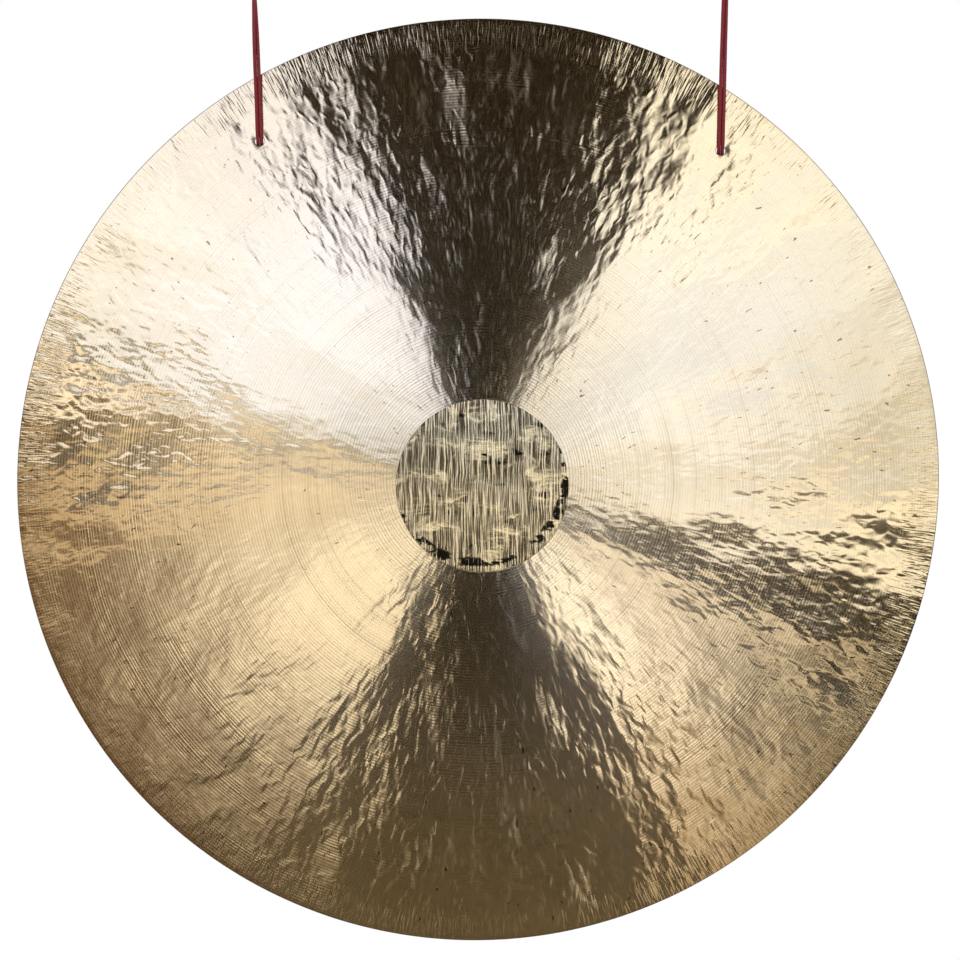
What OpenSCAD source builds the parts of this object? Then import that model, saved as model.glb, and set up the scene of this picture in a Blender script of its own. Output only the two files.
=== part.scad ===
// Tam tam gong (flat, lathe-turned wind gong) hung by two doubled cords from two beam hooks.
// Frame: +Z up, the playing face looks along -Y, +X to the right of a listener in front.
// Origin: on the underside of the beam, midway between the two hook studs.
// The plane y = 0 holds both hooks, the free cords and the centre of mass of the disc.

/* [Disc] */
// Diameter of the disc
disc_d = 800; // [780:5:820]
// Thickness of the bronze plate
disc_t = 1.8; // [1.4:0.1:2.2]
// Height of the dome at its centre above the plane of the rim
dome_h = 12; // [10:0.5:14]
// Diameter of the centre that was left unturned
centre_d = 149; // [120:1:180]
// How far the unturned centre stands proud of the turned face
centre_t = 0.4; // [0.2:0.1:0.8]
// Diameter of each cord hole
hole_d = 8.4; // [8.2:0.1:9]

/* [Cords] */
// Diameter of one strand of cord
cord_d = 3.2; // [3:0.1:3.4]
// Diameter of the stopper knot behind each hole
stopper_d = 15; // [13:0.5:15]
// Diameter of the knot that closes the eye below each hook
loop_knot_d = 13; // [11:0.5:14]

/* [Hooks] */
// Diameter of the hook's rod and of its stud
rod_d = 10; // [8:0.5:10]
// Length of the stud that stands above the collar
stud_l = 25; // [15:1:40]
// Diameter of the collar that meets the beam
collar_d = 24; // [18:1:30]
// Thickness of the collar
collar_t = 4; // [3:0.5:6]

/* [Hidden] */

// Middle of the disc, and the two cord holes as x and z from that middle
disc_pos = [-10, 0, -523];
left_hole = [-189.2, 293];
right_hole = [210.2, 285];
// The unturned centre lies a little off the middle of the disc
centre_pos = [3.7, -5.5];
disc_steps = 20;
rim_round = 0.5;
hole_depth = 40;

// Distance between the two hook studs, and the radius of a hook's round bend to the middle of its rod.
// Both are fixed, because the eyes of the two cords lie on these rods
hook_pitch = 411;
bend_r = 20;
// Middle of the hook's bend below the beam. A neck bend leads the shank onto it. One low bead covers
// the place where the two bends meet, and another rounds off the tip
bend_z = -42;
neck_r = 12;
neck_z = bend_z + sqrt(pow(bend_r + neck_r, 2) - pow(neck_r, 2));
neck_angle = atan2(neck_z - bend_z, neck_r);
bead_d = rod_d + 0.6;
tip_angle = 145;

// Middles of the knots
left_stopper = [-199.2, 12.2, -239];
right_stopper = [200.2, 12.5, -247];
left_loop = [-204.2, 0, -92];
right_loop = [204.3, 0, -92];

cord_sides = 8;

// Each route starts in the stopper knot, comes forward through the hole, climbs to the loop knot,
// passes over the hook's rod in the eye and comes back the same way beside itself.
left_route = [
    [-200.8, 11.5, -238.2], [-200.8, 8, -235.1], [-200.8, 3.1, -230.2], [-200.8, 2, -229.1],
    [-200.9, 0.5, -226.9], [-201, 0, -224.2], [-201.5, 0, -209], [-202, 0, -194],
    [-202.6, 0, -179], [-203.2, 0, -164], [-203.6, -0.5, -150], [-203.9, -1, -136],
    [-204, -1.3, -122], [-204, -1.5, -108], [-203.1, -1.1, -92], [-202.8, 0, -84],
    [-200.7, 0, -74], [-198.6, 0, -63.4], [-198.9, 0, -59.6], [-201.5, 0, -56.3],
    [-205.5, 0, -55], [-209.5, 0, -56.3], [-212.1, 0, -59.6], [-212.2, 0, -64.1],
    [-209.1, 0, -74], [-206, 0, -84], [-205.3, 1.1, -92], [-203.2, 1.5, -108],
    [-202.2, 1.3, -122], [-201.3, 1, -136], [-200.6, 0.5, -150], [-200, 0, -164],
    [-199.4, 0, -179], [-198.8, 0, -194], [-198.3, 0, -209], [-197.8, 0, -224.2],
    [-197.7, 0.5, -226.9], [-197.6, 2, -229.1], [-197.6, 3.1, -230.2], [-197.6, 8, -235.1],
    [-197.6, 11.5, -238.2]];
right_route = [
    [198.6, 11.8, -246.2], [198.6, 8.2, -243], [198.6, 3.4, -238.2], [198.6, 2, -236.8],
    [198.7, 0.5, -234.6], [198.8, 0, -231.9], [199.2, 0, -216], [199.7, 0, -200],
    [200.1, 0, -184], [200.5, -0.1, -168], [201, -0.3, -150], [201.5, -0.5, -136],
    [201.9, -0.7, -122], [202.4, -0.8, -108], [202.7, -0.4, -92], [202.9, 0, -84],
    [200.8, 0, -74], [198.6, 0, -63.4], [198.9, 0, -59.6], [201.5, 0, -56.3],
    [205.5, 0, -55], [209.5, 0, -56.3], [212.1, 0, -59.6], [212.2, 0, -64],
    [209.2, 0, -74], [206.1, 0, -84], [205.8, 0.4, -92], [205.2, 0.8, -108],
    [204.9, 0.7, -122], [204.5, 0.5, -136], [204.1, 0.3, -150], [203.7, 0.1, -168],
    [203.3, 0, -184], [202.9, 0, -200], [202.4, 0, -216], [202, 0, -231.9],
    [201.9, 0.5, -234.6], [201.8, 2, -236.8], [201.8, 3.4, -238.2], [201.8, 8.2, -243],
    [201.8, 11.8, -246.2]];

$fn = 96;

// ---- helpers ----

// Height of the middle of the plate towards the listener, at radius r from the disc's middle
function dome(r) = dome_h * (1 - pow(2 * r / disc_d, 2)) - dome_h / 2;

// A profile [radius, height] of the dome from its middle out to radius r_max
function dome_line(r_max, steps, up) =
    [for (i = [0 : steps]) [r_max * i / steps, dome(r_max * i / steps) + up]];

function reversed(list) = [for (i = [len(list) - 1 : -1 : 0]) list[i]];

function unit(v) = v / norm(v);

// Direction of a route at its point i
function heading(route, i) = unit(route[min(i + 1, len(route) - 1)] - route[max(i - 1, 0)]);

// One ring of the swept tube, with flats towards its neighbour. No heading of a route lies along Y
function ring(route, i, r) =
    let (side = unit(cross(heading(route, i), [0, 1, 0])), up = cross(side, heading(route, i)))
    [for (k = [0.5 : cord_sides - 0.5])
        route[i] + r * (cos(360 * k / cord_sides) * side + sin(360 * k / cord_sides) * up)];

// A closed tube of diameter d along a route
module tube(route, d) {
    rings = len(route);
    points = [for (i = [0 : rings - 1]) each ring(route, i, d / 2)];
    walls = [for (i = [0 : rings - 2]) for (k = [0 : cord_sides - 1])
        let (a = i * cord_sides, j = (k + 1) % cord_sides)
        [a + k, a + cord_sides + k, a + cord_sides + j, a + j]];
    start = [for (k = [0 : cord_sides - 1]) k];
    end = [for (k = [cord_sides - 1 : -1 : 0]) (rings - 1) * cord_sides + k];
    polyhedron(points = points, faces = concat(walls, [start], [end]), convexity = 10);
}

// A stretch of bent rod in the Y-Z plane, about x = 0, between two angles counted from +Y
module bent_rod(middle, r, from, to) {
    translate(middle)
        rotate([90, 0, 90])
            rotate([0, 0, from])
                rotate_extrude(angle = to - from)
                    translate([r, 0])
                        circle(d = rod_d);
}

// A bead on the middle line of the hook's round bend, at an angle counted from +Y
module bead_on_bend(angle) {
    translate([0, bend_r * cos(angle), bend_z + bend_r * sin(angle)])
        sphere(d = bead_d, $fn = 48);
}

// ---- parts ----

// The bronze plate: one domed sheet with two holes and a slightly thicker centre
module plate_blank() {
    rim = disc_d / 2 - rim_round;
    rotate_extrude($fn = 180)
        polygon(concat(dome_line(rim, disc_steps, -disc_t / 2),
                       [[disc_d / 2, dome(rim) - disc_t / 2 + rim_round],
                        [disc_d / 2, dome(rim) + disc_t / 2 - rim_round]],
                       reversed(dome_line(rim, disc_steps, disc_t / 2))));
}

module unturned_centre() {
    translate([centre_pos[0], centre_pos[1], 0])
        rotate_extrude($fn = 120)
            polygon(concat(dome_line(centre_d / 2, 4, 0),
                           reversed(dome_line(centre_d / 2, 4, disc_t / 2 + centre_t))));
}

module gong_disc() {
    color([0.72, 0.60, 0.38])
        translate(disc_pos)
            rotate([90, 0, 0])
                difference() {
                    union() {
                        plate_blank();
                        unturned_centre();
                    }
                    for (h = [left_hole, right_hole])
                        translate([h[0], h[1], -hole_depth / 2])
                            cylinder(d = hole_d, h = hole_depth, $fn = 48);
                }
}

// A screw-in beam hook: stud, collar, shank, neck bend, round bend and rounded tip
module beam_hook(x) {
    translate([x, 0, 0]) {
        cylinder(d = rod_d, h = stud_l, $fn = 48);
        translate([0, 0, -collar_t])
            cylinder(d = collar_d, h = collar_t);
        translate([0, 0, neck_z])
            cylinder(d = rod_d, h = -collar_t - neck_z, $fn = 48);
        bent_rod([0, neck_r, neck_z], neck_r, 180, 180 + neck_angle, $fn = 48);
        bead_on_bend(neck_angle);
        bent_rod([0, 0, bend_z], bend_r, tip_angle - 360, neck_angle, $fn = 48);
        bead_on_bend(tip_angle);
    }
}

module cord(route) {
    color([0.42, 0.06, 0.08])
        tube(route, cord_d);
}

module knot(middle, d) {
    color([0.38, 0.05, 0.07])
        translate(middle)
            sphere(d = d, $fn = 48);
}

module left_cord() { cord(left_route); }
module right_cord() { cord(right_route); }
module left_loop_knot() { knot(left_loop, loop_knot_d); }
module right_loop_knot() { knot(right_loop, loop_knot_d); }
module left_stopper_knot() { knot(left_stopper, stopper_d); }
module right_stopper_knot() { knot(right_stopper, stopper_d); }
module left_hook() { color([0.70, 0.71, 0.73]) beam_hook(-hook_pitch / 2); }
module right_hook() { color([0.70, 0.71, 0.73]) beam_hook(hook_pitch / 2); }

gong_disc();
left_cord();
right_cord();
left_loop_knot();
right_loop_knot();
left_stopper_knot();
right_stopper_knot();
left_hook();
right_hook();
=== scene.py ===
"""The looks of a tam tam gong (a flat, lathe-turned wind gong) on two doubled cords, built round its
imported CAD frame. Everything is in metres in the row frame: +Z up, the playing face looks along -Y."""

import math

import bpy
import numpy as np
from mathutils import Matrix, Vector


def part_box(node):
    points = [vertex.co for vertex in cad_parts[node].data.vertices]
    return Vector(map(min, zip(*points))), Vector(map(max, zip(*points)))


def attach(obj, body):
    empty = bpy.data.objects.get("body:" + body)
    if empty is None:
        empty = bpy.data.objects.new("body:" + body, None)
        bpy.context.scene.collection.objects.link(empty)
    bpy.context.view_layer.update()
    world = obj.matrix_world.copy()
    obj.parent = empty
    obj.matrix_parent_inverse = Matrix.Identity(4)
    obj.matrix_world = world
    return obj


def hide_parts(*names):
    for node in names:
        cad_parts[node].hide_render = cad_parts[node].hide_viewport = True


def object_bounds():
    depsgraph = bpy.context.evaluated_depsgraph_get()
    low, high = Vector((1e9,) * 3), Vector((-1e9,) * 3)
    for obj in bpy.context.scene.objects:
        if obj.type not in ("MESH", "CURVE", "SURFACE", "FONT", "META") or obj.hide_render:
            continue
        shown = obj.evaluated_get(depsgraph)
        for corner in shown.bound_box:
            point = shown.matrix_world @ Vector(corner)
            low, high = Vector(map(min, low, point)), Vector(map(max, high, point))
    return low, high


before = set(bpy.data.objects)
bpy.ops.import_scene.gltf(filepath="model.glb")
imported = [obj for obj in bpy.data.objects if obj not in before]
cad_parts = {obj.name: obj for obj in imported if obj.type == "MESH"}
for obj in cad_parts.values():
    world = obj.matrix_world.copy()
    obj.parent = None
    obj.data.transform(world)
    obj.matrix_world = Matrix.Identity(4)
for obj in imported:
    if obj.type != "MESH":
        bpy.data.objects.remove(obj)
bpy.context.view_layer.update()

# ---- camera ----

VIEW_MIDDLE = Vector((-0.0083, 0, -0.5235))
VIEW_WIDTH = 0.8312
CAMERA_AWAY = 2.2

camera = bpy.data.objects.new("camera", bpy.data.cameras.new("camera"))
bpy.context.scene.collection.objects.link(camera)
bpy.context.scene.camera = camera
camera.data.sensor_width = 36
camera.data.lens = camera.data.sensor_width * CAMERA_AWAY / VIEW_WIDTH
camera.location = VIEW_MIDDLE - Vector((0, CAMERA_AWAY, 0))
camera.rotation_euler = (math.pi / 2, 0, 0)

# ---- sizes that the CAD frame has too ----

CORD_D = 0.0032
LOOP_KNOT_D = 0.013
STOPPER_D = 0.015

DISC_MIDDLE = np.array([-0.010, 0, -0.523])
DISC_R = 0.400
DISC_T = 0.0018
DOME_H = 0.012
CENTRE_MIDDLE = np.array([0.0037, -0.0055])
CENTRE_R = 0.0745
CENTRE_T = 0.0004
HOLE_R = 0.0042
HOLES = {"left": (-0.1892, 0.293), "right": (0.2102, 0.285)}

ROD_R = 0.005
BEND_R = 0.020
BEND_Z = -0.042
NECK_R = 0.012
TIP_ANGLE = -215
STUD_TOP = 0.025
COLLAR_R = 0.012
COLLAR_T = 0.004

# Each route starts in the stopper knot, comes forward through the hole, climbs to the loop knot,
# passes over the hook's rod and comes back beside itself
ROUTES = {
    "left": [
        (-0.2008, 0.0115, -0.2382), (-0.2008, 0.008, -0.2351), (-0.2008, 0.0031, -0.2302),
        (-0.2008, 0.002, -0.2291), (-0.2009, 0.0005, -0.2269), (-0.201, 0, -0.2242),
        (-0.2015, 0, -0.209), (-0.202, 0, -0.194), (-0.2026, 0, -0.179),
        (-0.2032, 0, -0.164), (-0.2036, -0.0005, -0.15), (-0.2039, -0.001, -0.136),
        (-0.204, -0.0013, -0.122), (-0.204, -0.0015, -0.108), (-0.2031, -0.0011, -0.092),
        (-0.2028, 0, -0.084), (-0.2007, 0, -0.074), (-0.1986, 0, -0.0634),
        (-0.1989, 0, -0.0596), (-0.2015, 0, -0.0563), (-0.2055, 0, -0.055),
        (-0.2095, 0, -0.0563), (-0.2121, 0, -0.0596), (-0.2122, 0, -0.0641),
        (-0.2091, 0, -0.074), (-0.206, 0, -0.084), (-0.2053, 0.0011, -0.092),
        (-0.2032, 0.0015, -0.108), (-0.2022, 0.0013, -0.122), (-0.2013, 0.001, -0.136),
        (-0.2006, 0.0005, -0.15), (-0.2, 0, -0.164), (-0.1994, 0, -0.179),
        (-0.1988, 0, -0.194), (-0.1983, 0, -0.209), (-0.1978, 0, -0.2242),
        (-0.1977, 0.0005, -0.2269), (-0.1976, 0.002, -0.2291), (-0.1976, 0.0031, -0.2302),
        (-0.1976, 0.008, -0.2351), (-0.1976, 0.0115, -0.2382)],
    "right": [
        (0.1986, 0.0118, -0.2462), (0.1986, 0.0082, -0.243), (0.1986, 0.0034, -0.2382),
        (0.1986, 0.002, -0.2368), (0.1987, 0.0005, -0.2346), (0.1988, 0, -0.2319),
        (0.1992, 0, -0.216), (0.1997, 0, -0.2), (0.2001, 0, -0.184),
        (0.2005, -0.0001, -0.168), (0.201, -0.0003, -0.15), (0.2015, -0.0005, -0.136),
        (0.2019, -0.0007, -0.122), (0.2024, -0.0008, -0.108), (0.2027, -0.0004, -0.092),
        (0.2029, 0, -0.084), (0.2008, 0, -0.074), (0.1986, 0, -0.0634),
        (0.1989, 0, -0.0596), (0.2015, 0, -0.0563), (0.2055, 0, -0.055),
        (0.2095, 0, -0.0563), (0.2121, 0, -0.0596), (0.2122, 0, -0.064),
        (0.2092, 0, -0.074), (0.2061, 0, -0.084), (0.2058, 0.0004, -0.092),
        (0.2052, 0.0008, -0.108), (0.2049, 0.0007, -0.122), (0.2045, 0.0005, -0.136),
        (0.2041, 0.0003, -0.15), (0.2037, 0.0001, -0.168), (0.2033, 0, -0.184),
        (0.2029, 0, -0.2), (0.2024, 0, -0.216), (0.202, 0, -0.2319),
        (0.2019, 0.0005, -0.2346), (0.2018, 0.002, -0.2368), (0.2018, 0.0034, -0.2382),
        (0.2018, 0.0082, -0.243), (0.2018, 0.0118, -0.2462)],
}
FRONT_AT_KNOT = 14
BACK_AT_KNOT = 26


# ---- mesh helpers ----

def add_mesh(name, points, faces, smooth=True):
    mesh = bpy.data.meshes.new(name)
    mesh.from_pydata([tuple(float(c) for c in p) for p in points], [], faces)
    mesh.validate()
    if smooth:
        mesh.polygons.foreach_set("use_smooth", [True] * len(mesh.polygons))
    piece = bpy.data.objects.new(name, mesh)
    bpy.context.scene.collection.objects.link(piece)
    return piece


def path_length(points):
    return float(np.linalg.norm(np.diff(np.array(points, float), axis=0), axis=1).sum())


def smooth_path(points, step):
    """Points a step apart on the cubic curve through a route's points."""
    p = np.array(points, float)
    at = np.concatenate([[0], np.cumsum(np.linalg.norm(np.diff(p, axis=0), axis=1))])
    slope = np.gradient(p, at, axis=0)
    count = int(round(at[-1] / step)) + 1
    s = np.linspace(0, at[-1], count)
    i = np.clip(np.searchsorted(at, s, side="right") - 1, 0, len(p) - 2)
    span = (at[i + 1] - at[i])[:, None]
    u = (s[:, None] - at[i][:, None]) / span
    return ((2 * u**3 - 3 * u**2 + 1) * p[i] + (u**3 - 2 * u**2 + u) * span * slope[i]
            + (3 * u**2 - 2 * u**3) * p[i + 1] + (u**3 - u**2) * span * slope[i + 1])


def swept_rings(path, sides, radius_at):
    """Rings round a path, without twist. radius_at(angles, distance along the path) gives their radii."""
    p = np.array(path, float)
    heading = np.gradient(p, axis=0)
    heading /= np.linalg.norm(heading, axis=1)[:, None]
    along = np.concatenate([[0], np.cumsum(np.linalg.norm(np.diff(p, axis=0), axis=1))])
    first = np.cross(heading[0], [0, 1, 0])
    if np.linalg.norm(first) < 0.3:
        first = np.cross(heading[0], [1, 0, 0])
    side = first / np.linalg.norm(first)
    angles = np.arange(sides) * 2 * math.pi / sides
    rings = []
    for i in range(len(p)):
        side = side - heading[i] * (side @ heading[i])
        side /= np.linalg.norm(side)
        up = np.cross(heading[i], side)
        r = radius_at(angles, along[i])
        rings.append(p[i] + (r * np.cos(angles))[:, None] * side + (r * np.sin(angles))[:, None] * up)
    return rings


def tube_mesh(rings, first=0):
    """Points and faces of a closed tube from its rings, with faces numbered from first."""
    sides = len(rings[0])
    points = np.concatenate(rings)
    faces = []
    for i in range(len(rings) - 1):
        a = first + i * sides
        for k in range(sides):
            j = (k + 1) % sides
            faces.append((a + k, a + j, a + sides + j, a + sides + k))
    last = first + (len(rings) - 1) * sides
    faces.append(tuple(range(first + sides - 1, first - 1, -1)))
    faces.append(tuple(range(last, last + sides)))
    return points, faces


def tubes(name, parts):
    """One piece from several closed tubes, each given by its rings."""
    points, faces, count = [], [], 0
    for rings in parts:
        p, f = tube_mesh(rings, count)
        points.append(p)
        faces += f
        count += len(p)
    return add_mesh(name, np.concatenate(points), faces)


# ---- cords and knots ----

BRAID_STRANDS = 6
BRAID_PITCH = 0.0042
BRAID_DEPTH = 0.00012
CORD_SIDES = 24
CORD_STEP = 0.0006


def braid_radius(angles, distance):
    """The radius of a round braid: two families of strands that cross, with hollows between them."""
    turn = 2 * math.pi * distance / BRAID_PITCH
    one = np.cos(BRAID_STRANDS / 2 * angles + turn)
    other = np.cos(BRAID_STRANDS / 2 * angles - turn)
    return CORD_D / 2 - BRAID_DEPTH * (1 - np.maximum(one**2, other**2))


def rounded_end(radius, distance, length):
    """How much a tube narrows near its two ends, so that they look melted round."""
    edge = min(distance, length - distance)
    if edge >= radius:
        return 1
    return math.sqrt(max(0.02, 1 - (1 - edge / radius) ** 2))


STOPPER_AXIS = (0, 0.62, -0.78)
KNOT_SIDES = 20
KNOT_TURN_STEPS = 40
KNOT_PACKING = 1.02
TUCK = 0.35
TUCK_REACH = 0.06
CROSSING_LEAN = math.radians(25)
CROSSING_SWEEP = math.radians(140)
TAIL_LENGTH = 0.008
TAIL_SPLAY = 0.0022
TAIL_BOW = 0.0008


def barrel_knot(name, middle, axis, spread, size, turns, tails):
    """A cord wrapped round two strands that lie side by side along spread, in turns along axis."""
    axis = np.array(axis, float) / np.linalg.norm(axis)
    spread = np.array(spread, float)
    spread -= axis * (spread @ axis)
    spread /= np.linalg.norm(spread)
    third = np.cross(axis, spread)
    middle = np.array(middle, float)
    wide = size / 2 - CORD_D / 2
    deep = CORD_D + 0.0002
    height = turns * CORD_D * KNOT_PACKING
    t = np.linspace(0, 1, turns * KNOT_TURN_STEPS + 1)
    a = 2 * math.pi * turns * t
    lift = (t - 0.5) * height
    # both ends of the wrapping are tucked in towards the strands
    tuck = 1 - TUCK * np.exp(-(t / TUCK_REACH) ** 2) - TUCK * np.exp(-((1 - t) / TUCK_REACH) ** 2)
    path = (middle + (wide * tuck * np.cos(a))[:, None] * spread
            + (deep * tuck * np.sin(a))[:, None] * third + lift[:, None] * axis)
    # one long turn that crosses the others on the outside, as the end of a wrapped knot does
    cross_t = np.linspace(0, 1, 30)
    cross_a = (cross_t - 0.5) * CROSSING_SWEEP
    cross = (middle + (wide * 1.12 * np.sin(cross_a))[:, None] * spread * math.cos(CROSSING_LEAN)
             - (deep * 1.75 * np.cos(cross_a))[:, None] * third
             + ((cross_t - 0.5) * height * 0.9)[:, None] * axis)
    parts = [path, cross]
    for way in tails:
        start = middle + spread * way * CORD_D / 2
        drop = np.linspace(0, 1, 16)[:, None]
        end = axis * (height / 2 + TAIL_LENGTH) + spread * way * TAIL_SPLAY
        parts.append(start + drop * end + np.sin(drop * math.pi) * third * TAIL_BOW)
    rings = []
    for p in parts:
        length = path_length(p)

        def radius(angles, distance, length=length):
            narrowed = rounded_end(CORD_D / 2, min(distance, length), length)
            return braid_radius(angles, distance) * narrowed

        rings.append(swept_rings(smooth_path(p, CORD_STEP), KNOT_SIDES, radius))
    return tubes(name, rings)


cords, knots = {}, {}
for side, route in ROUTES.items():
    front, back = (np.array(route[i]) for i in (FRONT_AT_KNOT, BACK_AT_KNOT))
    lo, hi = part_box(side + "_loop_knot")
    loop_knot = barrel_knot(side + "_loop_knot_tied", (lo + hi) / 2, (0, 0, 1), back - front,
                            LOOP_KNOT_D, turns=4, tails=())
    lo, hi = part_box(side + "_stopper_knot")
    stopper = barrel_knot(side + "_stopper_knot_tied", (lo + hi) / 2, STOPPER_AXIS, (1, 0, 0),
                          STOPPER_D, turns=3, tails=(-1, 1))
    knots[side] = [loop_knot, stopper]
    path = smooth_path(route, CORD_STEP)
    cord = tubes(side + "_cord_braided", [swept_rings(path, CORD_SIDES, braid_radius)])
    cords[side] = cord
    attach(cord, side + "_hanger")
    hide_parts(side + "_cord")
    for knot, node in zip(knots[side], ("_loop_knot", "_stopper_knot")):
        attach(knot, side + "_hanger")
        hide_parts(side + node)

# ---- hooks ----

THREAD_PITCH = 0.0015
THREAD_DEPTH = 0.0008
THREAD_FROM = 0.002
STUD_CHAMFER = 0.0012
HOOK_SIDES = 48
COLLAR_SIDES = 72
COLLAR_CHAMFER = 0.0006


def arc(middle_y, middle_z, r, start, end, step=3.0):
    """Points from one angle to another in degrees, in the plane x = 0, without the last."""
    a = np.radians(np.arange(start, end, step if end > start else -step))
    return [(0, middle_y + r * math.cos(x), middle_z + r * math.sin(x)) for x in a]


def hook_path():
    """The rod's middle line from the top of the stud to the tip, with close steps along the thread."""
    neck_z = BEND_Z + math.sqrt((BEND_R + NECK_R) ** 2 - NECK_R**2)
    neck_angle = math.degrees(math.atan2(neck_z - BEND_Z, NECK_R))
    stud = [(0, 0, z) for z in np.arange(STUD_TOP, 0, -THREAD_PITCH / 8)]
    shank = [(0, 0, z) for z in np.linspace(0, neck_z, 8, endpoint=False)]
    neck = arc(NECK_R, neck_z, NECK_R, 180, 180 + neck_angle)
    bend = arc(0, BEND_Z, BEND_R, neck_angle, TIP_ANGLE)
    last = np.radians(TIP_ANGLE)
    tip = (0, BEND_R * math.cos(last), BEND_Z + BEND_R * math.sin(last))
    return np.array(stud + shank + neck + bend + [tip])


def hook_radius(length):
    """The rod's radius round a path of this length: a threaded stud, a smooth shank and a rounded tip."""
    def radius(angles, distance):
        r = np.full(len(angles), ROD_R)
        z = STUD_TOP - distance
        if z > THREAD_FROM:
            phase = (angles / (2 * math.pi) + distance / THREAD_PITCH) % 1
            ridge = np.clip(np.abs(phase - 0.5) * 2.6 - 0.15, 0, 1)
            fade = min(1, (z - THREAD_FROM) / THREAD_PITCH)
            r = r - THREAD_DEPTH * (1 - ridge) * fade
        if distance < STUD_CHAMFER:
            r = np.minimum(r, ROD_R - STUD_CHAMFER + distance)
        return r * rounded_end(ROD_R * 0.8, max(distance, ROD_R), length) if z < 0 else r
    return radius


def collar_rings():
    """The flange that bears on the beam: a turned ring with chamfers and a small fillet to the shank."""
    outline = [(ROD_R * 0.98, 0), (COLLAR_R - COLLAR_CHAMFER, 0), (COLLAR_R, -COLLAR_CHAMFER),
               (COLLAR_R, COLLAR_CHAMFER - COLLAR_T), (COLLAR_R - COLLAR_CHAMFER, -COLLAR_T),
               (ROD_R + 0.0016, -COLLAR_T), (ROD_R + 0.0005, -COLLAR_T - 0.0004),
               (ROD_R * 0.98, -COLLAR_T - 0.0014)]
    angles = np.arange(COLLAR_SIDES) * 2 * math.pi / COLLAR_SIDES
    return [np.stack([r * np.cos(angles), r * np.sin(angles), np.full(COLLAR_SIDES, z)], 1)
            for r, z in outline]


hooks = {}
for side in ROUTES:
    lo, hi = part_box(side + "_hook")
    path = hook_path()
    rod = swept_rings(path, HOOK_SIDES, hook_radius(path_length(path)))
    hook = tubes(side + "_hook_threaded", [rod, collar_rings()])
    hook.data.transform(Matrix.Translation(((lo.x + hi.x) / 2, 0, 0)))
    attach(hook, "beam_hooks")
    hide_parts(side + "_hook")
    hooks[side] = hook

# ---- disc ----

SEGMENTS = 512
FACE_RINGS = 86
RIM_ROUND = 0.0006
OVAL = 0.0035
DENTS = 1000
DENTS_FROM = 0.085
DENTS_TO = 0.392
DENT_DEPTH = 0.00022
DENT_LEAN = 0.25
DENT_REACH = 0.06
RNG = np.random.default_rng(21)


def dome(x, z):
    """Height of the middle of the plate towards the listener, without dents."""
    return DOME_H * (1 - (x * x + z * z) / DISC_R**2) - DOME_H / 2


def dent_field(x, z):
    """Height of the hammered surface over the smooth dome, from dents that are longer along the radius
    and deeper near the rim."""
    height = np.zeros_like(x)
    r = np.sqrt(RNG.uniform(DENTS_FROM**2, DENTS_TO**2, DENTS))
    a = RNG.uniform(0, 2 * math.pi, DENTS)
    wide = RNG.uniform(0.008, 0.014, DENTS)
    long = wide * RNG.uniform(1.2, 2.2, DENTS)
    depth = RNG.uniform(-1, 1, DENTS) * DENT_DEPTH * r / DISC_R
    lean = RNG.normal(0, DENT_LEAN, DENTS)
    for i in range(DENTS):
        dx, dz = x - r[i] * math.cos(a[i]), z - r[i] * math.sin(a[i])
        near = (np.abs(dx) < DENT_REACH) & (np.abs(dz) < DENT_REACH)
        turn = a[i] + lean[i]
        along = dx[near] * math.cos(turn) + dz[near] * math.sin(turn)
        across = -dx[near] * math.sin(turn) + dz[near] * math.cos(turn)
        height[near] += depth[i] * np.exp(-(along / long[i]) ** 2 / 2 - (across / wide[i]) ** 2 / 2)
    return height


def face_grid():
    """x, z and the height of the plate's middle at each ring and segment, centred on the disc's middle."""
    inner = np.linspace(0, CENTRE_R - 0.0005, 16)[1:]
    step = [CENTRE_R - 0.0001, CENTRE_R + 0.0001]
    outer = np.linspace(CENTRE_R + 0.0005, DISC_R - RIM_ROUND, FACE_RINGS - len(inner) - len(step))
    ring = np.concatenate([inner, step, outer])[:, None]
    a = np.arange(SEGMENTS)[None, :] * 2 * math.pi / SEGMENTS
    off = 1 - np.clip((ring - CENTRE_R) / CENTRE_R, 0, 1)
    off = off * off * (3 - 2 * off)
    oval = 1 + OVAL * (ring / DISC_R) ** 2 * np.cos(2 * (a - math.radians(45)))
    x = CENTRE_MIDDLE[0] * off + ring * oval * np.cos(a)
    z = CENTRE_MIDDLE[1] * off + ring * oval * np.sin(a)
    return ring, x, z, dome(x, z) + dent_field(x, z)


def open_hole(x, z, hole):
    """The block of grid cells to take out round a hole: first and last ring, first and last segment."""
    near = np.hypot(x - hole[0], z - hole[1])
    i, k = np.unravel_index(np.argmin(near), near.shape)
    return i - 2, i + 2, k - 2, k + 2


# The rounded edge of a hole as (radius, share of the half thickness that it has dropped), and the rim's
# as (share of its rounding, place across the thickness from the front at -1 to the back at 1)
HOLE_EDGE = ((HOLE_R * 1.12, 0.0), (HOLE_R * 1.03, 0.04), (HOLE_R, 0.25))
RIM_EDGE = ((0.6, -0.93), (1.0, -0.55), (1.0, 0.55), (0.6, 0.93))

ring, grid_x, grid_z, grid_h = face_grid()
raised = (ring < CENTRE_R) * CENTRE_T


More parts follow.
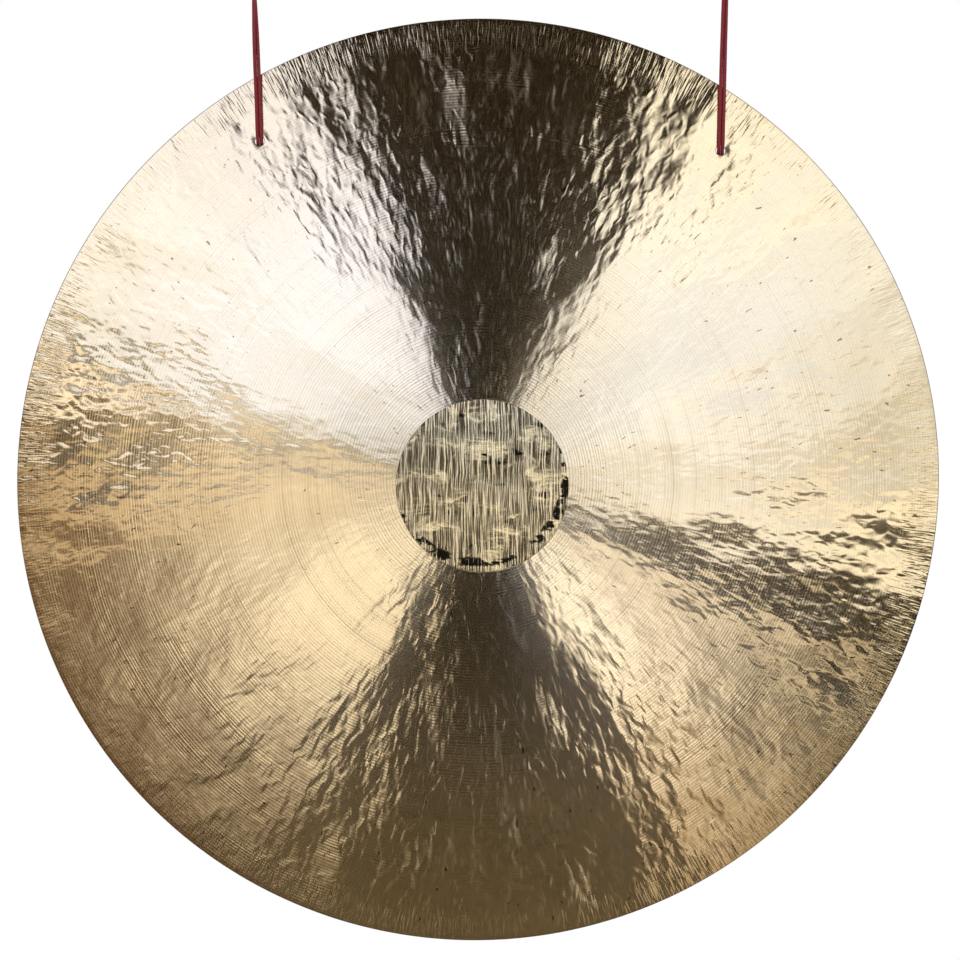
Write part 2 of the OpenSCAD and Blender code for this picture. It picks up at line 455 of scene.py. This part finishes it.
def disc_mesh():
    """The whole plate: front, back, rounded rim and two holes, as one closed mesh. -Y is the front."""
    rings = len(ring)
    middle_x, middle_z = DISC_MIDDLE[0], DISC_MIDDLE[2]
    front = np.stack([grid_x + middle_x, -grid_h - DISC_T / 2 - raised, grid_z + middle_z], -1)
    back = np.stack([grid_x + middle_x, -grid_h + DISC_T / 2, grid_z + middle_z], -1)
    points = [front.reshape(-1, 3), back.reshape(-1, 3)]
    back_first = rings * SEGMENTS
    faces = []
    holes = {name: open_hole(grid_x, grid_z, h) for name, h in HOLES.items()}
    cut = np.zeros((rings, SEGMENTS), bool)
    for i0, i1, k0, k1 in holes.values():
        cut[i0:i1, k0:k1] = True
    for i in range(rings - 1):
        for k in range(SEGMENTS):
            if cut[i, k]:
                continue
            j = (k + 1) % SEGMENTS
            a, b = i * SEGMENTS + k, i * SEGMENTS + j
            d, c = a + SEGMENTS, b + SEGMENTS
            faces.append((a, b, c, d))
            faces.append((back_first + d, back_first + c, back_first + b, back_first + a))
    count = 2 * back_first
    # the middle points
    x0, z0 = CENTRE_MIDDLE
    h0 = dome(x0, z0)
    points.append(np.array([[x0 + middle_x, -h0 - DISC_T / 2 - CENTRE_T, z0 + middle_z],
                            [x0 + middle_x, -h0 + DISC_T / 2, z0 + middle_z]]))
    for k in range(SEGMENTS):
        j = (k + 1) % SEGMENTS
        faces.append((count, j, k))
        faces.append((count + 1, back_first + k, back_first + j))
    count += 2
    # the rounded rim
    a = np.arange(SEGMENTS) * 2 * math.pi / SEGMENTS
    edge = rings - 1
    out = np.stack([np.cos(a), 0 * a, np.sin(a)], 1)
    rows = [edge * SEGMENTS]
    for push, across in RIM_EDGE:
        y = -grid_h[edge] + across * DISC_T / 2
        base = np.stack([grid_x[edge] + middle_x, y, grid_z[edge] + middle_z], 1)
        points.append(base + out * RIM_ROUND * push)
        rows.append(count)
        count += SEGMENTS
    rows.append(back_first + edge * SEGMENTS)
    for one, other in zip(rows, rows[1:]):
        for k in range(SEGMENTS):
            j = (k + 1) % SEGMENTS
            faces.append((one + k, one + j, other + j, other + k))
    # the holes: each block's border is joined to a round edge on the front and the back
    for name, (i0, i1, k0, k1) in holes.items():
        loop = ([(i0, k) for k in range(k0, k1)] + [(i, k1) for i in range(i0, i1)]
                + [(i1, k) for k in range(k1, k0, -1)] + [(i, k0) for i in range(i1, i0, -1)])
        hole = np.array(HOLES[name])
        firsts = []
        for sign, offset in ((-1, 0), (1, back_first)):
            border = [offset + i * SEGMENTS + k for i, k in loop]
            previous, flip = border, sign > 0
            for r, drop in HOLE_EDGE:
                circle = []
                for i, k in loop:
                    way = np.array([grid_x[i, k], grid_z[i, k]]) - hole
                    way /= np.linalg.norm(way)
                    at = hole + way * r
                    y = -dome(*at) + sign * DISC_T / 2 * (1 - drop)
                    circle.append([at[0] + middle_x, y, at[1] + middle_z])
                points.append(np.array(circle))
                current = list(range(count, count + len(loop)))
                count += len(loop)
                for m in range(len(loop)):
                    n = (m + 1) % len(loop)
                    quad = (previous[m], previous[n], current[n], current[m])
                    faces.append(quad[::-1] if flip else quad)
                previous = current
            firsts.append(previous)
        for m in range(len(loop)):
            n = (m + 1) % len(loop)
            faces.append((firsts[0][m], firsts[0][n], firsts[1][n], firsts[1][m]))
    return np.concatenate(points), faces


disc_points, disc_faces = disc_mesh()
disc = add_mesh("gong_disc_hammered", disc_points, disc_faces)
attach(disc, "gong")
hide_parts("gong_disc")


# ---- materials ----

GROOVE_PITCH = 0.0025


class Nodes:
    """Short calls for building a node tree."""

    def __init__(self, tree):
        self.tree = tree

    def add(self, kind, **settings):
        node = self.tree.nodes.new(kind)
        for name, value in settings.items():
            setattr(node, name, value)
        return node

    def put(self, value, socket):
        if isinstance(value, bpy.types.NodeSocket):
            self.tree.links.new(value, socket)
        else:
            socket.default_value = value

    def math(self, operation, a, b=0.0, c=0.0, clamp=False):
        node = self.add("ShaderNodeMath", operation=operation, use_clamp=clamp)
        for value, socket in zip((a, b, c), node.inputs):
            self.put(value, socket)
        return node.outputs[0]

    def vector(self, operation, a, b=(0, 0, 0)):
        node = self.add("ShaderNodeVectorMath", operation=operation)
        self.put(a, node.inputs[0])
        self.put(b, node.inputs[1])
        return node.outputs["Value"] if operation in ("LENGTH", "DOT_PRODUCT") else node.outputs[0]

    def xyz(self, x, y, z):
        node = self.add("ShaderNodeCombineXYZ")
        for value, socket in zip((x, y, z), node.inputs):
            self.put(value, socket)
        return node.outputs[0]

    def split_xz(self, vector):
        node = self.add("ShaderNodeSeparateXYZ")
        self.put(vector, node.inputs[0])
        return node.outputs[0], node.outputs[2]

    def noise(self, at, scale, detail=2.0, roughness=0.5, distortion=0.0, dimensions="3D"):
        node = self.add("ShaderNodeTexNoise", noise_dimensions=dimensions)
        self.put(at, node.inputs["W" if dimensions == "1D" else "Vector"])
        node.inputs["Scale"].default_value = scale
        node.inputs["Detail"].default_value = detail
        node.inputs["Roughness"].default_value = roughness
        node.inputs["Distortion"].default_value = distortion
        return node.outputs["Fac"]

    def step(self, value, low, high):
        """A smooth step from 0 at low to 1 at high."""
        node = self.add("ShaderNodeMapRange", interpolation_type="SMOOTHSTEP")
        self.put(value, node.inputs["Value"])
        node.inputs["From Min"].default_value = low
        node.inputs["From Max"].default_value = high
        return node.outputs[0]

    def mix(self, fac, a, b):
        """A mix of two colours or vectors."""
        node = self.add("ShaderNodeMix", data_type="RGBA")
        self.put(fac, node.inputs[0])
        self.put(a, node.inputs[6])
        self.put(b, node.inputs[7])
        return node.outputs[2]

    def bump(self, height, distance, normal=None):
        node = self.add("ShaderNodeBump")
        node.inputs["Distance"].default_value = distance
        self.put(height, node.inputs["Height"])
        if normal is not None:
            self.put(normal, node.inputs["Normal"])
        return node.outputs[0]


def new_material(name):
    material = bpy.data.materials.new(name)
    material.use_nodes = True
    shader = material.node_tree.nodes["Principled BSDF"]
    return material, shader, Nodes(material.node_tree)


# Height of each layer of relief that is too fine for the mesh
BROAD_H = 0.00020
COARSE_H = 0.00017
STROKE_H = 0.00004
RIPPLE_H = 0.00010
GROOVE_H = 0.000024
SCRAPE_H = 0.0007

GOLD = (0.82, 0.67, 0.44, 1)
DEEP_GOLD = (0.79, 0.63, 0.40, 1)
WARM_GOLD = (0.79, 0.60, 0.32, 1)
# painted shade: brown for dark lines along the lathe grooves
GROOVE_SHADE_BROWN = (0.40, 0.27, 0.12, 1)
# painted shade: dark brown for flecks that stand in for dark reflections in dents
FLECK_SHADE_BROWN = (0.20, 0.11, 0.04, 1)
# painted shade: dark brown for thin rings round the rim and the holes
EDGE_SHADE_BROWN = (0.10, 0.075, 0.045, 1)
RAW_DARK = (0.09, 0.065, 0.032, 1)
RAW_BRIGHT = (0.90, 0.76, 0.49, 1)
# painted highlight: bright gold for highlight patches on the scraped centre
HIGHLIGHT_GOLD = (1.00, 0.82, 0.48, 1)
TORN_BLACK = (0.012, 0.010, 0.007, 1)

# Middle of the circle that the torn black edge of the raw centre follows, from the centre's own middle
LIP_MIDDLE = (-0.0035, 0, 0.0105)


def lathe_grooves(n, flat, r):
    """Fine even grooves at one radius, some of them cut deeper."""
    waver = n.noise(flat, 7.0, 1.0)
    groove_r = n.math("MULTIPLY_ADD", waver, 0.005, r)
    unevenness = n.noise(groove_r, 120.0, 1.0, dimensions="1D")
    turns = n.math("MULTIPLY", groove_r, 2 * math.pi / GROOVE_PITCH)
    phase = n.math("MULTIPLY_ADD", unevenness, 5.0, turns)
    fine = n.math("MULTIPLY_ADD", n.math("SINE", phase), 0.5, 0.5)
    bold = n.step(n.noise(groove_r, 300.0, 1.0, dimensions="1D"), 0.56, 0.74)
    arcs = n.step(n.noise(flat, 8.0, 2.0), 0.35, 0.65)
    depth = n.step(n.noise(groove_r, 45.0, 1.0, dimensions="1D"), 0.35, 0.65)
    depth = n.math("MULTIPLY_ADD", n.math("MULTIPLY", depth, arcs), 0.55, 0.45)
    return n.math("MULTIPLY", n.math("MULTIPLY_ADD", bold, 0.6, fine), depth)


def radial_streaks(n, r, cos, sin):
    """A maker of noise drawn out along the radius, with fewer streaks round the turn near the middle."""
    outside = n.step(r, 0.12, 0.26)

    def streaks(around, along, detail):
        def noise(turns):
            place = n.xyz(n.math("MULTIPLY", cos, turns), n.math("MULTIPLY", sin, turns),
                          n.math("MULTIPLY", r, along))
            return n.noise(place, 1.0, detail, 0.5, 0.45)
        return n.mix(outside, noise(around * 0.45), noise(around))

    return streaks


def hammered_normal(n, flat, r, streaks, grooves):
    """Dents too fine for the mesh, lower towards the middle, a ripple at the rim, and the grooves."""
    outer = n.math("MULTIPLY", r, 1 / DISC_R)
    broad = n.math("MULTIPLY", streaks(20.0, 30.0, 1.0), outer)
    coarse = n.math("MULTIPLY", streaks(42.0, 88.0, 0.5), outer)
    patches = n.math("MULTIPLY_ADD", n.step(n.noise(flat, 11.0, 1.0), 0.42, 0.60), 0.75, 0.25)
    peaks = n.math("MULTIPLY_ADD", streaks(60.0, 110.0, 0.5), 4.0, -2.0, clamp=True)
    peaks = n.math("MULTIPLY", peaks, peaks)
    strokes = n.math("MULTIPLY", n.math("MULTIPLY", peaks, patches), outer)
    ripple = n.math("MULTIPLY", streaks(190.0, 60.0, 1.0), n.step(r, 0.362, 0.388))
    normal = None
    for height, distance in ((broad, BROAD_H), (coarse, COARSE_H), (strokes, STROKE_H),
                             (ripple, RIPPLE_H), (grooves, GROOVE_H)):
        normal = n.bump(height, distance, normal)
    return normal


def turned_colour(n, flat, r, cos, sin, streaks, grooves):
    """Gold that grows warmer outwards, with painted shade lines along the grooves, painted dark reflection
    flecks, and painted shade round the rim and holes.
    """
    gold = n.mix(n.step(n.noise(flat, 5.0, 3.0), 0.35, 0.65), GOLD, DEEP_GOLD)
    gold = n.mix(n.math("MULTIPLY", n.step(r, 0.20, 0.40), 0.75), gold, WARM_GOLD)
    # painted shade: the grooves' pattern darkens the colour in lines, in place of the dark lines their
    # reflection shows
    colour = n.mix(n.math("MULTIPLY", grooves, 0.17), gold, GROOVE_SHADE_BROWN)
    # painted shade: scattered dark flecks drawn out along the radius, standing in for the dark reflections
    # of small dents
    dark_reflection_flecks = n.step(streaks(110.0, 170.0, 0.0), 0.80, 0.83)
    colour = n.mix(n.math("MULTIPLY", dark_reflection_flecks, 0.8), colour, FLECK_SHADE_BROWN)
    # painted shade: a thin dark ring just inside the rim and round each hole
    rim_r = n.math("MULTIPLY_ADD", n.math("MULTIPLY", cos, sin), -2 * OVAL * DISC_R, r)
    edge = n.step(rim_r, DISC_R - 0.0009, DISC_R - 0.0003)
    for hole in HOLES.values():
        from_hole = n.vector("LENGTH", n.vector("SUBTRACT", flat, (hole[0], 0, hole[1])))
        edge = n.math("MAXIMUM", edge, n.step(from_hole, HOLE_R + 0.0006, HOLE_R + 0.0001))
    return n.mix(n.math("MULTIPLY", edge, 0.8), colour, EDGE_SHADE_BROWN)


def raw_colour(n, x, z, from_centre, scrape):
    """The scraped centre: upright grooves, painted gold highlights, torn black gaps and a torn lower edge.
    """
    def blotches(across, up, layer, *detail):
        place = n.xyz(n.math("MULTIPLY", x, across), layer, n.math("MULTIPLY", z, up))
        return n.noise(place, 1.0, *detail)

    base = n.mix(n.step(scrape, 0.42, 0.66), RAW_DARK, RAW_BRIGHT)
    # painted highlight: bright gold patches in the colour, stronger on the scrape ridges
    gold_highlight = n.step(blotches(24.0, 58.0, 3.0, 5.0, 0.75, 0.8), 0.50, 0.66)
    gold_highlight = n.math("MULTIPLY", gold_highlight, n.math("MULTIPLY_ADD", scrape, 1.5, 0.10))
    base = n.mix(gold_highlight, base, HIGHLIGHT_GOLD)
    gaps = n.step(blotches(48.0, 110.0, 9.0, 1.0, 0.5, 0.3), 0.64, 0.68)
    gaps = n.math("MULTIPLY", gaps, n.step(scrape, 0.60, 0.48))
    under = n.vector("LENGTH", n.vector("SUBTRACT", from_centre, LIP_MIDDLE))
    under = n.math("MULTIPLY_ADD", scrape, 0.009, under)
    lip = n.math("MULTIPLY", n.step(under, CENTRE_R + 0.0020, CENTRE_R + 0.0028),
                 n.step(blotches(42.0, 90.0, 5.0, 4.0, 0.6), 0.50, 0.53))
    lip = n.math("MULTIPLY", lip, n.step(under, CENTRE_R + 0.0112, CENTRE_R + 0.0098))
    lip = n.math("MULTIPLY", lip, n.step(scrape, 0.70, 0.60))
    return n.mix(n.math("MAXIMUM", gaps, lip), base, TORN_BLACK)


def bronze_material():
    """Turned and hammered bronze. Gloss spreads along the radius, across the lathe's grooves, except on
    the scraped centre, where it spreads across its upright grooves."""
    material, shader, n = new_material("bronze")
    at = n.vector("SUBTRACT", n.add("ShaderNodeTexCoord").outputs["Object"], tuple(DISC_MIDDLE))
    x, z = n.split_xz(at)
    flat = n.xyz(x, 0.0, z)
    r = n.vector("LENGTH", flat)
    outward = n.vector("NORMALIZE", flat)
    cos, sin = n.split_xz(outward)
    from_centre = n.vector("SUBTRACT", flat, (CENTRE_MIDDLE[0], 0, CENTRE_MIDDLE[1]))
    in_centre = n.math("LESS_THAN", n.vector("LENGTH", from_centre), CENTRE_R)

    grooves = lathe_grooves(n, flat, r)
    streaks = radial_streaks(n, r, cos, sin)
    scrape_x = n.math("MULTIPLY_ADD", n.noise(flat, 40.0, 1.0), 0.0035, x)
    scrape_at = n.xyz(n.math("MULTIPLY", scrape_x, 820.0), 0.0, n.math("MULTIPLY", z, 26.0))
    scrape = n.noise(scrape_at, 1.0, 2.0, 0.6)

    turned = hammered_normal(n, flat, r, streaks, grooves)
    n.put(n.mix(in_centre, turned, n.bump(scrape, SCRAPE_H)), shader.inputs["Normal"])
    colour = turned_colour(n, flat, r, cos, sin, streaks, grooves)
    n.put(n.mix(in_centre, colour, raw_colour(n, x, z, from_centre, scrape)), shader.inputs["Base Color"])

    tangent = n.mix(in_centre, outward, (1, 0, 0, 1))
    world = n.add("ShaderNodeVectorTransform", vector_type="VECTOR",
                  convert_from="OBJECT", convert_to="WORLD")
    n.put(tangent, world.inputs[0])
    n.put(world.outputs[0], shader.inputs["Tangent"])
    shader.inputs["Metallic"].default_value = 1.0
    shader.inputs["Roughness"].default_value = 0.115
    shader.inputs["Anisotropic"].default_value = 1.0
    return material


CORD_RED = (0.20, 0.006, 0.010, 1)
CORD_BRIGHT_RED = (0.25, 0.008, 0.012, 1)
FIBRE_RED = (0.28, 0.02, 0.02, 1)


def cord_material():
    """Dark red braided nylon."""
    material, shader, n = new_material("cord")
    at = n.add("ShaderNodeTexCoord").outputs["Object"]
    fibre = n.noise(at, 2600.0, 2.0)
    mottle = n.noise(at, 300.0, 2.0)
    colour = n.mix(n.step(mottle, 0.35, 0.65), CORD_RED, CORD_BRIGHT_RED)
    fibres = n.math("MULTIPLY", n.step(fibre, 0.55, 0.7), 0.25)
    n.put(n.mix(fibres, colour, FIBRE_RED), shader.inputs["Base Color"])
    n.put(n.bump(fibre, 0.00008), shader.inputs["Normal"])
    shader.inputs["Roughness"].default_value = 0.55
    shader.inputs["Sheen Weight"].default_value = 0.06
    shader.inputs["Sheen Roughness"].default_value = 0.4
    return material


ZINC_DARK = (0.40, 0.41, 0.42, 1)
ZINC_BRIGHT = (0.54, 0.55, 0.56, 1)


def hook_material():
    """Zinc-plated steel with a faint crystal bloom and rubbed places."""
    material, shader, n = new_material("hook_steel")
    at = n.add("ShaderNodeTexCoord").outputs["Object"]
    bloom = n.noise(at, 220.0, 3.0, 0.6)
    scratch = n.noise(n.vector("MULTIPLY", at, (900, 900, 60)), 1.0, 2.0)
    n.put(n.mix(n.step(bloom, 0.3, 0.7), ZINC_DARK, ZINC_BRIGHT), shader.inputs["Base Color"])
    n.put(n.math("MULTIPLY_ADD", bloom, 0.22, 0.22), shader.inputs["Roughness"])
    n.put(n.bump(scratch, 0.00003), shader.inputs["Normal"])
    shader.inputs["Metallic"].default_value = 1.0
    return material


def wear(pieces, material):
    for piece in pieces:
        piece.data.materials.clear()
        piece.data.materials.append(material)


wear([disc], bronze_material())
wear([p for side in cords for p in (cords[side], *knots[side])], cord_material())
wear(hooks.values(), hook_material())


# ---- light and floor ----

# Colour of the studio as the metal sees it, by the angle round the line of sight from +X towards +Z.
# NEAR holds close to the line of sight, and FAR well away from it
NEAR = [
    (0, (0.86, 0.91, 1.05)), (30, (1, 1.15, 1.5)), (57, (1.02, 1.12, 1.38)),
    (65, (0.004, 0.003, 0.001)), (107, (0.004, 0.003, 0.001)), (115, (1.03, 1.18, 1.72)),
    (160, (1.02, 1.15, 1.48)), (165, (1.04, 1.12, 1.28)), (167.5, (0.02, 0.015, 0.01)),
    (171, (0.02, 0.015, 0.01)), (173.5, (1.12, 1.06, 0.98)), (182, (0.84, 0.78, 0.68)),
    (190, (1, 0.94, 0.82)), (200, (1.24, 1.2, 1.14)), (237, (1.38, 1.35, 1.27)),
    (246, (0.004, 0.003, 0.001)), (300, (0.004, 0.003, 0.001)), (307, (1.8, 1.84, 1.96)),
    (322, (1.15, 1.13, 1.13)), (331, (1.22, 1.2, 1.2)), (334, (0.008, 0.005, 0.002)),
    (345, (0.008, 0.005, 0.002)), (348, (1.18, 1.21, 1.3)), (354, (1, 1.03, 1.13)),
]
FAR = [
    (0, (0.56, 0.59, 0.66)), (30, (0.74, 0.87, 1.22)), (58, (0.96, 1.04, 1.22)),
    (65, (0.008, 0.004, 0.001)), (110, (0.008, 0.004, 0.001)), (120, (0.86, 1, 1.55)),
    (159, (0.86, 0.98, 1.36)), (161, (0.03, 0.018, 0.01)), (164, (0.03, 0.018, 0.01)),
    (166, (1.15, 1.15, 1.25)), (169, (1.15, 1.15, 1.25)), (171, (0.02, 0.01, 0.004)),
    (179, (0.02, 0.01, 0.004)), (181, (0.46, 0.38, 0.3)), (185, (0.46, 0.38, 0.3)),
    (189, (0.08, 0.04, 0.013)), (237, (0.05, 0.028, 0.014)), (246, (0.082, 0.068, 0.05)),
    (296, (0.082, 0.068, 0.05)), (303, (0.42, 0.35, 0.27)), (322, (0.03, 0.02, 0.01)),
    (327, (0.02, 0.012, 0.006)), (329, (0.55, 0.52, 0.47)), (331, (0.55, 0.52, 0.47)),
    (333, (0.008, 0.005, 0.003)), (347, (0.008, 0.005, 0.003)), (351, (1.04, 1.07, 1.13)),
]


# How far from the line of sight the dark round the camera ends, NEAR turns into FAR and the walls begin
LENS_DARK_ENDS = (0.02, 0.07)
NEAR_TO_FAR = (0.12, 0.235)
WALLS_BEGIN = (0.36, 0.56)
WALLS_WIDE = 0.74
WALLS_HIGH = 0.62
LENS_DARK = (0.02, 0.018, 0.015, 1)
CORNER_BROWN = (0.06, 0.05, 0.035, 1)
WALL_GREY = (0.68, 0.69, 0.72, 1)
PLAIN_WHITE = (1, 1, 1, 1)


def colour_round(n, turn, table):
    """The colour from a table of angles, at a part of a full turn."""
    ramp = n.add("ShaderNodeValToRGB")
    n.put(turn, ramp.inputs[0])
    stops = ramp.color_ramp.elements
    for stop, position in zip(stops, (0, 1)):
        stop.position, stop.color = position, (*table[0][1], 1)
    for angle, colour in table[1:]:
        stops.new(angle / 360).color = (*colour, 1)
    return ramp.outputs[0]


def mirrored_studio(n, towards, x, z):
    """Soft boxes to both sides and darkness above, below and round the camera, as the metal sees them, in a
    bright room with darker corners."""
    turn = n.math("DIVIDE", n.math("ARCTAN2", z, x), 2 * math.pi)
    turn = n.math("FRACT", n.math("ADD", turn, 1.0))
    away = n.vector("LENGTH", n.xyz(x, 0.0, z))
    near, far = colour_round(n, turn, NEAR), colour_round(n, turn, FAR)
    lit = n.mix(n.step(away, *NEAR_TO_FAR), near, far)
    lit = n.mix(n.step(away, *LENS_DARK_ENDS), LENS_DARK, lit)
    corners = n.step(n.noise(towards, 3.4, 1.0), 0.44, 0.58)
    walls = n.mix(corners, CORNER_BROWN, WALL_GREY)
    wide = n.xyz(n.math("MULTIPLY", x, WALLS_WIDE), 0.0, n.math("MULTIPLY", z, WALLS_HIGH))
    return n.mix(n.step(n.vector("LENGTH", wide), *WALLS_BEGIN), lit, walls)


def studio_world():
    """The studio for glossy rays, soft white light for other rays, and plain white for the camera."""
    world = bpy.data.worlds.new("studio")
    world.use_nodes = True
    bpy.context.scene.world = world
    n = Nodes(world.node_tree)
    background = world.node_tree.nodes["Background"]
    towards = n.add("ShaderNodeTexCoord").outputs["Generated"]
    x, z = n.split_xz(towards)
    n.put(mirrored_studio(n, towards, x, z), background.inputs["Color"])
    uneven = n.step(n.noise(n.xyz(x, 0.0, z), 16.0, 1.0), 0.30, 0.70)
    n.put(n.math("MULTIPLY_ADD", uneven, 0.90, 1.10), background.inputs["Strength"])
    path = n.add("ShaderNodeLightPath").outputs
    soft = n.add("ShaderNodeBackground")
    n.put(n.math("MULTIPLY_ADD", z, 0.35, 0.75), soft.inputs["Strength"])
    room = n.add("ShaderNodeBackground")
    for plain in (soft, room):
        plain.inputs["Color"].default_value = PLAIN_WHITE
    unseen = n.add("ShaderNodeMixShader")
    n.put(path["Is Glossy Ray"], unseen.inputs[0])
    n.put(soft.outputs[0], unseen.inputs[1])
    n.put(background.outputs[0], unseen.inputs[2])
    seen = n.add("ShaderNodeMixShader")
    n.put(path["Is Camera Ray"], seen.inputs[0])
    n.put(unseen.outputs[0], seen.inputs[1])
    n.put(room.outputs[0], seen.inputs[2])
    n.put(seen.outputs[0], world.node_tree.nodes["World Output"].inputs["Surface"])


# A round floor, far enough below the gong to stay out of the camera's view
FLOOR_R = 2.2
FLOOR_BELOW = 0.45
FLOOR_SIDES = 96


def pale_floor():
    lo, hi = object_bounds()
    rim = [(FLOOR_R * math.cos(a), FLOOR_R * math.sin(a), lo.z - FLOOR_BELOW)
           for a in np.arange(FLOOR_SIDES) * 2 * math.pi / FLOOR_SIDES]
    floor = add_mesh("floor", rim, [tuple(range(FLOOR_SIDES))], smooth=False)
    material, shader, _ = new_material("floor")
    shader.inputs["Base Color"].default_value = (0.86, 0.85, 0.84, 1)
    shader.inputs["Roughness"].default_value = 0.9
    wear([floor], material)
    floor.visible_glossy = False


studio_world()
pale_floor()
bpy.context.scene.view_settings.view_transform = "Standard"
